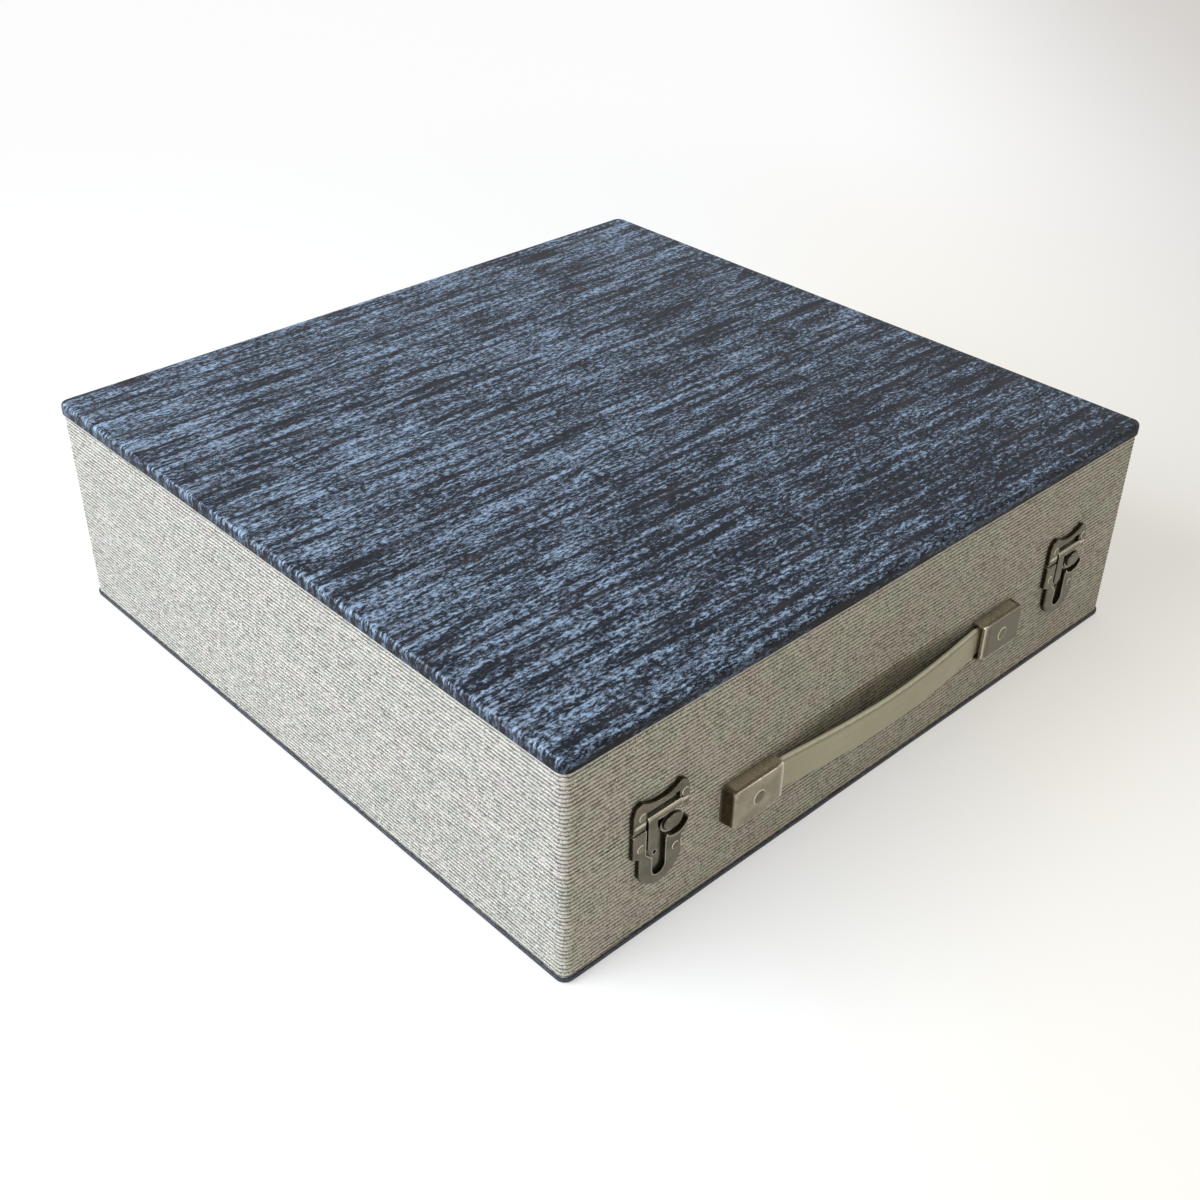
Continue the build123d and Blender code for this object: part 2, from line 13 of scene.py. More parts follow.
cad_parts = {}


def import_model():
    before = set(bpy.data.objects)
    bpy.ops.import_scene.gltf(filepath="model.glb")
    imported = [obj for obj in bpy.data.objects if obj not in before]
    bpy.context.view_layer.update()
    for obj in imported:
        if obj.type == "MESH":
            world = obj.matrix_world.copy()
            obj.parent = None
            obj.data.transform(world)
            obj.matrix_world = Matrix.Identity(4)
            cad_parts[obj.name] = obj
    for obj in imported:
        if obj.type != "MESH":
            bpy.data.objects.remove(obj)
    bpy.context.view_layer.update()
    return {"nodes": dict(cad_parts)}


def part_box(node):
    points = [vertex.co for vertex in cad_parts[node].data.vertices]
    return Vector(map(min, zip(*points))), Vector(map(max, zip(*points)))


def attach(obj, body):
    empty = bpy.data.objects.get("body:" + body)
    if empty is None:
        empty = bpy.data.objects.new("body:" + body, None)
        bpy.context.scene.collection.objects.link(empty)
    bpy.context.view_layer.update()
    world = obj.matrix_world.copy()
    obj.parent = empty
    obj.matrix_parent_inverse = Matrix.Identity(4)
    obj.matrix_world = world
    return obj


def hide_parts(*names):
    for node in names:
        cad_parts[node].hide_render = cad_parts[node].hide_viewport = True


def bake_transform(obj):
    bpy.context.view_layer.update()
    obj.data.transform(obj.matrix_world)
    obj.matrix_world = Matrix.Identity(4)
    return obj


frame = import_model()
nodes = frame["nodes"]
MM = 0.001

# ---- Sizes read from the frame -------------------------------------------------------------------
top_low, top_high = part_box("lid_top_covering")
bottom_low, bottom_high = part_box("base_bottom_covering")
base_cloth_low, base_cloth_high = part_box("base_side_covering")
lid_cloth_low, lid_cloth_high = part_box("lid_side_covering")
grip_low, grip_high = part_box("handle_grip")

half_width = top_high.x
half_depth = top_high.y
case_height = top_high.z
lid_band = top_high.z - top_low.z
base_band = bottom_high.z - bottom_low.z
paper = half_width - lid_cloth_high.x
base_rim = base_cloth_high.z
lid_rim = lid_cloth_low.z
seam = (base_rim + lid_rim) / 2
cloth_face_y = lid_cloth_low.y

# ---- Sizes of the coverings ----------------------------------------------------------------------
corner_radius = 4.5 * MM
least_radius = 0.5 * MM
fold_radius = 1.5 * MM
wall_stack = 6.4 * MM
turn_in = 18.0 * MM
rib_pitch = 1.8 * MM
rib_depth = 0.42 * MM
rim_round = 0.6 * MM

corner_steps = 8
side_steps = 92
rows_per_rib = 5
rim_steps = 4
fold_steps = 8

# reach of the painted strap shadow with soiling on the cloth beside the handle
strap_shade_half_width = 80.0 * MM
strap_shade_reach = 34.0 * MM
seam_wear_reach = 1.0 * MM


# ---- Small helpers for materials -----------------------------------------------------------------
def srgb(red, green, blue):
    """A colour written as display values from 0 to 255."""
    def linear(value):
        value /= 255
        return value / 12.92 if value <= 0.04045 else ((value + 0.055) / 1.055) ** 2.4

    return (linear(red), linear(green), linear(blue), 1.0)


class Nodes:
    """A node tree, with one short call for each kind of node used here."""

    def __init__(self, tree):
        self.tree = tree

    def put(self, value, socket):
        if isinstance(value, bpy.types.NodeSocket):
            self.tree.links.new(value, socket)
        else:
            socket.default_value = value

    def node(self, kind, inputs, output=0, **settings):
        made = self.tree.nodes.new(kind)
        for name, value in settings.items():
            setattr(made, name, value)
        for name, value in inputs.items():
            self.put(value, made.inputs[name])
        return made.outputs[output]

    def math(self, operation, a, b=0.0, clamp=False):
        return self.node("ShaderNodeMath", {0: a, 1: b}, operation=operation, use_clamp=clamp)

    def plus(self, a, b):
        return self.math("ADD", a, b)

    def minus(self, a, b):
        return self.math("SUBTRACT", a, b)

    def times(self, a, b):
        return self.math("MULTIPLY", a, b)

    def stir(self, value, pattern, weight):
        """A value that rises and falls with a pattern whose middle is 0.5."""
        return self.plus(value, self.times(self.minus(pattern, 0.5), weight))

    def both(self, a, a_weight, b, b_weight):
        return self.plus(self.times(a, a_weight), self.times(b, b_weight))

    def attribute(self, name):
        """The three numbers of a vector attribute of the mesh."""
        vector = self.node("ShaderNodeAttribute", {}, "Vector", attribute_name=name)
        return self.split(vector)

    def split(self, vector):
        made = self.tree.nodes.new("ShaderNodeSeparateXYZ")
        self.put(vector, made.inputs[0])
        return tuple(made.outputs)

    def place(self):
        """The point's place in the piece's own frame, which is the model's frame at rest."""
        return self.node("ShaderNodeTexCoord", {}, "Object")

    def vector(self, x, y, z=0.0):
        return self.node("ShaderNodeCombineXYZ", {0: x, 1: y, 2: z})

    def pair(self, x, x_scale, y, y_scale):
        return self.vector(self.times(x, x_scale), self.times(y, y_scale))

    def scaled(self, vector, x, y, z):
        return self.node("ShaderNodeVectorMath", {0: vector, 1: (x, y, z)}, operation="MULTIPLY")

    def noise(self, vector, scale, detail=2.0, roughness=0.5, distortion=0.0, output="Fac"):
        inputs = {"Vector": vector, "Scale": scale, "Detail": detail}
        inputs |= {"Roughness": roughness, "Distortion": distortion}
        return self.node("ShaderNodeTexNoise", inputs, output)

    def step(self, value, low, high, to_low=0.0, to_high=1.0):
        """A smooth rise from to_low to to_high as value goes from low to high."""
        inputs = {"Value": value, "From Min": low, "From Max": high, "To Min": to_low, "To Max": to_high}
        return self.node("ShaderNodeMapRange", inputs, interpolation_type="SMOOTHSTEP")

    def mix(self, factor, a, b, blend="MIX"):
        made = self.tree.nodes.new("ShaderNodeMix")
        made.data_type = "RGBA"
        made.blend_type = blend
        self.put(factor, made.inputs[0])
        self.put(a, made.inputs[6])
        self.put(b, made.inputs[7])
        return made.outputs[2]

    def darken_by_tone(self, colour, tone, share):
        """A colour with a share of it multiplied by a tone."""
        return self.mix(share, colour, self.mix(1.0, colour, tone, "MULTIPLY"))

    def ramp(self, value, *stops):
        made = self.tree.nodes.new("ShaderNodeValToRGB")
        self.put(value, made.inputs[0])
        elements = made.color_ramp.elements
        while len(elements) < len(stops):
            elements.new(0.5)
        for element, (position, colour) in zip(elements, stops):
            element.position = position
            element.color = colour
        return made.outputs[0]

    def bump(self, height, distance, strength=1.0):
        return self.node("ShaderNodeBump", {"Height": height, "Distance": distance, "Strength": strength})

    def crevice(self, distance, inside=False):
        """From 0 deep in a recess, or on an outer edge where inside is set, to 1 on an open face."""
        made = self.tree.nodes.new("ShaderNodeAmbientOcclusion")
        made.samples = 6
        made.inside = inside
        made.only_local = inside
        made.inputs["Distance"].default_value = distance
        return made.outputs["AO"]

    def seen(self):
        """1 for the rays that show a backdrop: straight from the camera, mirrored or through glass."""
        rays = self.tree.nodes.new("ShaderNodeLightPath").outputs
        direct = self.plus(rays["Is Camera Ray"], rays["Is Glossy Ray"])
        return self.math("ADD", direct, rays["Is Transmission Ray"], clamp=True)


class Paint(Nodes):
    """A new material and the nodes that feed its shader."""

    def __init__(self, name):
        self.material = bpy.data.materials.new(name)
        self.material.use_nodes = True
        super().__init__(self.material.node_tree)
        self.shader = self.tree.nodes["Principled BSDF"]

    def finish(self, colour, roughness, metallic=0.0, normal=None, specular=0.5):
        self.put(colour, self.shader.inputs["Base Color"])
        self.put(roughness, self.shader.inputs["Roughness"])
        self.put(metallic, self.shader.inputs["Metallic"])
        self.put(specular, self.shader.inputs["Specular IOR Level"])
        if normal is not None:
            self.put(normal, self.shader.inputs["Normal"])
        return self.material


# ---- Materials -----------------------------------------------------------------------------------
def ribbed_cloth():
    """Ribbed bookcloth: pale threads on each rib with painted highlight, dark broken gaps with painted
    shade, warmer and cooler patches, painted warm light on the front faces and cool on the others, and a
    painted strap shadow with soiling.
    """
    paint = Paint("ribbed_cloth")
    run, phase, wear = paint.attribute("thread")
    strap_shade_and_soil, front_light_share, _ = paint.attribute("strap_shade_and_soil")
    rib = paint.math("FLOOR", phase)
    twist = paint.noise(paint.pair(run, 420.0, phase, 1.7), 1.0, 1.0, 0.5)
    within = paint.math("FRACT", paint.stir(phase, twist, 0.5))
    across = paint.math("SINE", paint.times(within, math.pi))
    dashes = paint.noise(paint.pair(run, 270.0, rib, 7.31), 1.0, 1.0, 0.5)
    breaks = paint.step(paint.math("ABSOLUTE", paint.minus(dashes, 0.5)), 0.0, 0.045, -0.28, 0.03)
    fine = paint.noise(paint.pair(run, 1500.0, phase, 2.7), 1.0, 2.0, 0.6)
    slub = paint.noise(paint.pair(run, 60.0, rib, 0.9), 1.0, 2.0, 0.5)
    cover = paint.stir(across, dashes, 0.4)
    cover = paint.stir(cover, fine, 1.4)
    cover = paint.stir(cover, slub, 0.3)
    cover = paint.plus(cover, breaks)
    # the narrow thread mask deepens the gaps between the ribs with painted shade
    thread = paint.step(cover, 0.16, 0.92)
    clouds = paint.noise(paint.place(), 70.0, 3.0, 0.6)
    # cooler tint as painted light from the cool key, for the left and back faces
    cool_key_tint = paint.ramp(
        clouds,
        (0.36, srgb(166, 168, 165)),
        (0.46, srgb(175, 175, 172)),
        (0.54, srgb(179, 176, 172)),
        (0.64, srgb(176, 170, 173)),
    )
    # warmer tint as painted light from warm bounce, for the faces turned to the front
    rubbed = paint.ramp(
        clouds,
        (0.36, srgb(174, 175, 152)),
        (0.46, srgb(182, 178, 156)),
        (0.54, srgb(187, 176, 158)),
        (0.64, srgb(183, 169, 156)),
    )
    tint = paint.mix(front_light_share, cool_key_tint, rubbed)
    # pale flecks on the threads: their own pale colour, brightened as painted highlight
    pale = paint.mix(paint.step(fine, 0.48, 0.7, 0.0, 0.75), tint, srgb(232, 229, 218))
    pale = paint.mix(wear, pale, srgb(214, 208, 192))
    # gap colour: the cloth's dark ground deepened with painted shade, warmer on the front as painted
    # light
    dark = paint.mix(front_light_share, srgb(98, 98, 92), srgb(110, 104, 90))
    colour = paint.mix(thread, dark, pale)
    # painted shadow of the strap with soiling: darker cloth between the strap and the seam
    colour = paint.darken_by_tone(colour, srgb(150, 142, 118), strap_shade_and_soil)
    height = paint.both(thread, 0.7, fine, 0.3)
    roughness = paint.step(thread, 0.0, 1.0, 0.85, 0.62)
    return paint.finish(colour, roughness, normal=paint.bump(height, 0.16 * MM, 0.8), specular=0.25)


def mottled_paper():
    """Printed covering paper: near-black navy with streaks, flecks and pale blue patches along X, painted
    shade down its folded band and pale wear along its fold mixed with a painted highlight.
    """
    paint = Paint("mottled_paper")
    x, y, drop = paint.attribute("sheet")
    wear_and_fold_highlight = paint.attribute("wear_and_fold_highlight")[0]
    flat = paint.vector(x, y)
    wander = paint.noise(paint.scaled(flat, 60.0, 60.0, 1.0), 1.0, 2.0, 0.5, output="Color")
    wander = paint.node("ShaderNodeVectorMath", {0: wander, 1: (0.5, 0.5, 0.5)}, operation="SUBTRACT")
    shifted = paint.node(
        "ShaderNodeVectorMath", {0: flat, 1: paint.scaled(wander, 0.004, 0.002, 0.0)}, operation="ADD"
    )
    bands = paint.noise(paint.scaled(shifted, 16.0, 280.0, 1.0), 1.0, 2.0, 0.55)
    clouds = paint.noise(paint.scaled(shifted, 9.0, 22.0, 1.0), 1.0, 2.0, 0.5)
    patches = paint.noise(paint.scaled(shifted, 62.0, 190.0, 1.0), 1.0, 3.0, 0.6, 0.15)
    flecks = paint.noise(paint.scaled(shifted, 360.0, 820.0, 1.0), 1.0, 2.5, 0.62, 0.15)
    grain = paint.noise(paint.scaled(shifted, 1100.0, 2800.0, 1.0), 1.0, 2.0, 0.6, 0.1)
    tone = paint.step(paint.minus(x, y), -0.08, 0.26, 0.5, 0.4)
    weights = ((bands, 0.8), (clouds, 0.25), (patches, 0.75), (flecks, 1.65), (grain, 0.9))
    for pattern, weight in weights:
        tone = paint.stir(tone, pattern, weight)
    ink = paint.ramp(
        tone,
        (0.30, srgb(14, 18, 26)),
        (0.42, srgb(34, 40, 52)),
        (0.49, srgb(60, 69, 84)),
        (0.56, srgb(88, 99, 116)),
        (0.65, srgb(112, 127, 146)),
        (0.80, srgb(148, 172, 200)),
    )
    streak = paint.step(bands, 0.36, 0.46, 0.8, 0.0)
    ink = paint.mix(streak, ink, srgb(22, 26, 35))
    brown = paint.noise(paint.scaled(shifted, 40.0, 120.0, 1.0), 1.0, 3.0, 0.6)
    ink = paint.mix(paint.step(brown, 0.52, 0.68, 0.0, 0.5), ink, paint.mix(0.4, ink, srgb(76, 68, 70)))
    # painted shade: the folded-down band darkens with its distance below the fold
    grime_and_shade = paint.step(drop, 1.0 * MM, 4.0 * MM, 0.0, 0.85)
    ink = paint.darken_by_tone(ink, srgb(138, 138, 142), grime_and_shade)
    # pale flecks along the fold: wear with a painted highlight
    rubbed = paint.times(wear_and_fold_highlight, paint.step(flecks, 0.46, 0.58))
    ink = paint.mix(rubbed, ink, srgb(144, 164, 190))
    roughness = paint.step(tone, 0.3, 0.8, 0.46, 0.56)
    relief = paint.both(tone, 0.6, grain, 0.4)
    return paint.finish(ink, roughness, normal=paint.bump(relief, 0.03 * MM, 0.6), specular=0.14)


def charcoal_paper():
    """Dark blue-grey paper under the case, rubbed at its fold, with a painted highlight mixed into that
    wear.
    """
    paint = Paint("charcoal_paper")
    x, y, drop = paint.attribute("sheet")
    wear_and_fold_highlight = paint.attribute("wear_and_fold_highlight")[0]
    flat = paint.vector(x, y)
    flecks = paint.noise(paint.scaled(flat, 420.0, 900.0, 1.0), 1.0, 3.0, 0.7, 0.8)
    scuffs = paint.noise(paint.scaled(flat, 30.0, 30.0, 1.0), 1.0, 4.0, 0.7, 0.6)
    ink = paint.ramp(
        flecks, (0.36, srgb(30, 32, 40)), (0.52, srgb(48, 51, 60)), (0.68, srgb(84, 90, 104))
    )
    ink = paint.mix(paint.step(scuffs, 0.54, 0.70, 0.0, 0.4), ink, srgb(104, 106, 110))
    # pale flecks along the fold: wear with a painted highlight
    ink = paint.mix(paint.times(wear_and_fold_highlight, paint.step(flecks, 0.42, 0.6)), ink, srgb(120, 124, 132))
    return paint.finish(ink, 0.6, normal=paint.bump(flecks, 0.03 * MM, 0.5), specular=0.4)


def lining_paper():
    """Plain paper lining with a faint laid texture and a few handling marks."""
    paint = Paint("lining_paper")
    place = paint.place()
    fibre = paint.noise(paint.scaled(place, 500.0, 500.0, 500.0), 1.0, 3.0, 0.7)
    laid = paint.noise(paint.scaled(place, 60.0, 1200.0, 1200.0), 1.0, 2.0, 0.5)
    stains = paint.noise(paint.scaled(place, 14.0, 14.0, 14.0), 1.0, 4.0, 0.65, 0.4)
    colour = paint.mix(fibre, srgb(150, 148, 138), srgb(178, 175, 163))
    colour = paint.mix(paint.step(stains, 0.50, 0.72, 0.0, 0.35), colour, srgb(132, 122, 104))
    height = paint.both(laid, 0.6, fibre, 0.4)
    return paint.finish(colour, 0.82, normal=paint.bump(height, 0.06 * MM, 0.6), specular=0.25)


def card(name, light, dark):
    """Grey board or card with pressed fibres."""
    paint = Paint(name)
    place = paint.place()
    fibre = paint.noise(paint.scaled(place, 700.0, 260.0, 260.0), 1.0, 4.0, 0.7, 0.5)
    specks = paint.noise(paint.scaled(place, 1400.0, 1400.0, 1400.0), 1.0, 2.0, 0.5)
    colour = paint.mix(fibre, dark, light)
    colour = paint.mix(paint.step(specks, 0.66, 0.74, 0.0, 0.6), colour, srgb(92, 84, 70))
    return paint.finish(colour, 0.88, normal=paint.bump(fibre, 0.08 * MM, 0.7), specular=0.2)


def plated(name, bright, dull, grime_and_shade, rough, recess=1.8 * MM, rim=0.7 * MM, dull_side=None):
    """Plated steel: painted darker reflections on the faces turned off its front, painted shade with dirt
    in its recesses, and a painted highlight along its outer edges.
    """
    paint = Paint(name)
    place = paint.place()
    clouds = paint.noise(paint.scaled(place, 90.0, 90.0, 130.0), 1.0, 3.0, 0.55)
    scratches = paint.noise(paint.scaled(place, 2400.0, 900.0, 260.0), 1.0, 3.0, 0.6, 0.3)
    pits = paint.noise(paint.scaled(place, 1500.0, 1500.0, 1500.0), 1.0, 2.0, 0.5)
    # painted shade with dirt: recesses found by occlusion
    open_face = paint.step(paint.crevice(recess), 0.30, 0.92)
    colour = paint.mix(paint.step(clouds, 0.36, 0.66), bright, dull)
    if dull_side is not None:
        colour = paint.mix(paint.step(paint.split(place)[0], -0.03, 0.05), colour, dull_side)
    colour = paint.mix(paint.step(pits, 0.66, 0.78, 0.0, 0.4), colour, grime_and_shade)
    # painted reflection: faces turned off the front take a darker brown, as they mirror the dark room
    normal = paint.tree.nodes.new("ShaderNodeTexCoord").outputs["Normal"]
    turned = paint.step(paint.math("ABSOLUTE", paint.split(normal)[1]), 0.3, 0.85, 0.85, 0.0)
    colour = paint.darken_by_tone(colour, srgb(132, 116, 100), turned)
    # painted highlight: a pale colour along outer edges found by occlusion inside the part
    edge = paint.step(paint.crevice(rim, True), 0.45, 0.9, 0.75, 0.0)
    colour = paint.mix(edge, colour, srgb(226, 217, 198))
    # painted shade with dirt fills the recesses
    colour = paint.mix(open_face, grime_and_shade, colour)
    roughness = paint.plus(rough, paint.step(clouds, 0.35, 0.70, -0.04, 0.06))
    roughness = paint.plus(roughness, paint.step(scratches, 0.4, 0.7, -0.03, 0.06))
    roughness = paint.plus(roughness, paint.step(open_face, 0.0, 1.0, 0.28, 0.0))
    metal = paint.step(open_face, 0.0, 0.8, 0.45, 1.0)
    height = paint.both(scratches, 0.5, clouds, 0.5)
    return paint.finish(colour, roughness, metal, paint.bump(height, 0.02 * MM, 0.35))


def strap_vinyl():
    """Cream vinyl: smooth, yellowed, with a pale upper edge and a brown rubbed line under it."""
    paint = Paint("strap_vinyl")
    along, across, _ = paint.attribute("strap")
    place = paint.place()
    ragged = paint.noise(paint.pair(along, 420.0, across, 500.0), 1.0, 3.0, 0.7)
    streaks = paint.noise(paint.pair(along, 40.0, across, 520.0), 1.0, 3.0, 0.6)
    clouds = paint.noise(place, 60.0, 3.0, 0.6)
    grain = paint.noise(place, 2600.0, 2.0, 0.5)
    colour = paint.mix(clouds, srgb(152, 147, 118), srgb(178, 172, 141))
    colour = paint.mix(paint.step(streaks, 0.5, 0.7, 0.0, 0.35), colour, srgb(140, 136, 110))
    level = paint.stir(across, ragged, 1.1 * MM)
    under = paint.times(
        paint.step(level, 5.6 * MM, 6.3 * MM), paint.step(level, 6.5 * MM, 6.9 * MM, 1.0, 0.0)
    )
    colour = paint.mix(paint.times(under, 0.6), colour, srgb(110, 102, 74))
    colour = paint.mix(paint.step(level, 7.0 * MM, 7.5 * MM), colour, srgb(208, 203, 178))
    height = paint.both(grain, 0.3, streaks, 0.4)
    return paint.finish(colour, 0.42, normal=paint.bump(height, 0.03 * MM, 0.5), specular=0.4)


board = card("board", srgb(168, 156, 132), srgb(138, 126, 104))
lip_card = card("lip_card", srgb(150, 150, 146), srgb(120, 120, 116))
nickel = plated("latch_nickel", srgb(112, 105, 91), srgb(91, 87, 72), srgb(26, 23, 18), 0.24)
cap_nickel = plated(
    "cap_nickel", srgb(156, 148, 129), srgb(136, 128, 108), srgb(40, 34, 27), 0.28,
    recess=3.0 * MM, rim=1.5 * MM, dull_side=srgb(106, 100, 86),
)
rivet_steel = plated(
    "rivet_steel", srgb(124, 117, 102), srgb(102, 96, 82), srgb(28, 24, 19), 0.24,
    recess=1.2 * MM, rim=0.25 * MM,
)
hinge_steel = plated("hinge_steel", srgb(150, 144, 131), srgb(116, 110, 98), srgb(36, 32, 27), 0.30)
spring_steel = plated("spring_steel", srgb(150, 150, 152), srgb(112, 108, 104), srgb(40, 38, 36), 0.3)
cloth = ribbed_cloth()
top_paper = mottled_paper()
bottom_paper = charcoal_paper()
lining = lining_paper()
vinyl = strap_vinyl()


# ---- Outline rings and grid meshes ---------------------------------------------------------------
def ring(inset):
    """Points of the rounded outline seen from above, drawn in by an inset, and their outward normals."""
    radius = max(corner_radius - inset, least_radius)
    centre_x = half_width - inset - radius
    centre_y = half_depth - inset - radius
    corners = ((1, 1), (-1, 1), (-1, -1), (1, -1))
    points = []
    normals = []
    for number, (sign_x, sign_y) in enumerate(corners):
        start = number * math.pi / 2
        for step in range(corner_steps + 1):
            angle = start + step / corner_steps * math.pi / 2
            normal = np.array((math.cos(angle), math.sin(angle)))
            points.append(np.array((sign_x * centre_x, sign_y * centre_y)) + radius * normal)
            normals.append(normal)
        next_x, next_y = corners[(number + 1) % 4]
        last = points[-1]
        goal = np.array((next_x * centre_x, next_y * centre_y)) + radius * normals[-1]
        for step in range(1, side_steps):
            points.append(last + (goal - last) * step / side_steps)
            normals.append(normals[-1])
    return np.array(points), np.array(normals)


outer_ring, ring_normals = ring(0.0)
ring_steps = np.linalg.norm(np.roll(outer_ring, -1, axis=0) - outer_ring, axis=1)
ring_run = np.concatenate(([0.0], np.cumsum(ring_steps)[:-1]))
columns = len(outer_ring)


def closed(values):
    """The values round the outline with the first one again at the end."""
    return np.concatenate((values, values[:1]))


def quarter(steps):
    """Angles of a quarter round, from 0 to 90 degrees."""
    return [step / steps * math.pi / 2 for step in range(steps + 1)]


def noise_at(x, y, z=0.0):
    """Smooth noise from about -1 to 1, the same on every run."""
    flat = [np.ravel(values) for values in np.broadcast_arrays(x, y, z)]
    found = [noise.noise(Vector(point)) for point in zip(*flat)]
    return np.array(found).reshape(np.broadcast(x, y, z).shape)


def grid(name, points, around=True, cap_first=False):
    """A smooth mesh from rows and columns of points, joined round its columns where around is set."""
    rows, across = points.shape[:2]
    count = across if around else across - 1
    row, column = np.meshgrid(np.arange(rows - 1), np.arange(count), indexing="ij")
    after = (column + 1) % across
    here, below = row * across, (row + 1) * across
    corners = (here + column, here + after, below + after, below + column)
    faces = np.stack(corners, axis=-1).reshape(-1, 4).tolist()
    if cap_first:
        faces.append(list(range(across))[::-1])
    mesh = bpy.data.meshes.new(name)
    mesh.from_pydata(points.reshape(-1, 3).tolist(), [], faces)
    mesh.polygons.foreach_set("use_smooth", [True] * len(mesh.polygons))
    mesh.update()
    made = bpy.data.objects.new(name, mesh)
    bpy.context.scene.collection.objects.link(made)
    return made


def mark(piece, name, x, y, z):
    """Stores three numbers at each point of a piece, which its material reads."""
    values = np.stack(np.broadcast_arrays(x, y, z), axis=-1).reshape(-1).astype(np.float32)
    attribute = piece.data.attributes.new(name, "FLOAT_VECTOR", "POINT")
    attribute.data.foreach_set("vector", values)


def dress(piece, material, body, slot_name, *replaced):
    """Gives a finished piece its material and its body, and hides the nodes that it stands for."""
    piece.data.materials.append(material)
    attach(piece, body)
    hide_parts(*replaced)


# ---- Ribbed cloth of the two halves --------------------------------------------------------------
def cloth_profile(outside, rim):
    """Rows down one half's cloth: inset, height, distance from the seam and share of rim wear."""
    inward = 1 if outside > rim else -1
    height = abs(outside - rim) - paper
    rows = []
    for number in range(round(height / rib_pitch * rows_per_rib) + 1):
        level = height - number * rib_pitch / rows_per_rib
        if level > rim_round:
            rows.append((paper, rim + inward * level, level))
    for angle in quarter(rim_steps):
        rows.append((
            paper + rim_round * (1 - math.cos(angle)),
            rim + inward * rim_round * (1 - math.sin(angle)),
            rim_round * (1 - angle / 2),
        ))
    inner = paper + wall_stack
    rim_spans = 6
    for step in range(1, rim_spans):
        inset = paper + rim_round + (wall_stack - 2 * rim_round) * step / rim_spans
        rows.append((inset, rim, -(inset - paper)))
    for angle in quarter(rim_steps):
        rows.append((
            inner - rim_round * (1 - math.sin(angle)),
            rim + inward * rim_round * (1 - math.cos(angle)),
            -wall_stack - rim_round * angle,
        ))
    inside_rows = round((turn_in - rim_round) / rib_pitch * 3)
    for step in range(1, inside_rows + 1):
        level = rim_round + (turn_in - rim_round) * step / inside_rows
        rows.append((inner, rim + inward * level, -wall_stack - level))
    return np.array(rows)


def cloth_half(name, outside, rim, body, node):
    """One half's cloth with its ribs in relief: down the sides, over the rim and turned in."""
    profile = cloth_profile(outside, rim)
    rows = len(profile)
    run = np.tile(np.append(ring_run, ring_steps.sum()), (rows, 1))
    distance = np.tile(profile[:, 2:3], (1, columns + 1)) + abs(rim - seam)
    sign = 1 if outside > rim else -1
    wobble = noise_at(run * 28, distance * sign * 40) * 0.16
    wobble = wobble + noise_at(run * 90, distance * sign * 200) * 0.08
    outer = np.clip(distance / (3 * rib_pitch), 0, 1)
    phase = distance / rib_pitch + wobble * outer
    relief = np.abs(np.sin(np.pi * phase)) ** 0.7
    slub = noise_at(run * 140, np.floor(phase) * 5.3) * 0.5 + 0.5
    dip = rib_depth * (1 - relief * (0.75 + 0.25 * slub))
    points = np.zeros((rows, columns + 1, 3))
    normals = closed(ring_normals)
    for index, (inset, level, _) in enumerate(profile):
        flat, _ = ring(inset)
        points[index, :, :2] = closed(flat)
        points[index, :, 2] = level
    outside_rows = profile[:, 0] <= paper + 1e-9
    inside_rows = profile[:, 0] >= paper + wall_stack - 1e-9
    push = np.where(outside_rows, -1.0, np.where(inside_rows, 1.0, 0.0))[:, None, None]
    points[:, :, :2] += push * dip[:, :, None] * normals[None, :, :]
    drop = np.where(outside_rows | inside_rows, 0.0, 1.0)[:, None]
    points[:, :, 2] += drop * sign * dip * 0.5
    points[:, -1] = points[:, 0]
    if sign > 0:
        points = points[:, ::-1]
    piece = grid(name, points, around=False)
    flip = slice(None, None, -1) if sign > 0 else slice(None)
    wear = np.exp(-((distance / seam_wear_reach) ** 2))
    front = (normals[:, 1] < -0.9).astype(float)[None, :]
    threads = 0.5 + 0.5 * noise_at(run * 240, distance * 300)
    wear = wear * (0.25 + 0.75 * front) * np.clip(threads * 1.6 - 0.2, 0, 1)
    mark(piece, "thread", run[:, flip], (phase * sign)[:, flip], wear[:, flip])
    x = np.tile(closed(outer_ring[:, 0]), (rows, 1))
    middle = (grip_low.x + grip_high.x) / 2
    beside = np.clip(1.15 - np.abs(x - middle) / strap_shade_half_width, 0, 1)
    below_seam = sign < 0
    # painted strap shadow with soiling: strongest on the front just below the seam beside the handle
    strap_shade_and_soil = beside * front * (0.75 if below_seam else 0.15)
    strap_shade_and_soil = strap_shade_and_soil * np.clip(1 - distance / strap_shade_reach, 0, 1)
    # share of painted warm front light: 1 on the front, 0.5 on the right, low on the left and back
    front_light_share = 0.5 - 0.5 * normals[:, 1] + 0.4 * np.minimum(normals[:, 0], 0)
    mark(piece, "strap_shade_and_soil", strap_shade_and_soil[:, flip], np.tile(np.clip(front_light_share, 0.1, 1), (rows, 1))[:, flip], 0.0)
    dress(piece, cloth, body, "ribbed_cloth", node)


cloth_half("base_ribbed_cloth", 0.0, base_rim, "case_base", "base_side_covering")
cloth_half("lid_ribbed_cloth", case_height, lid_rim, "lid", "lid_side_covering")


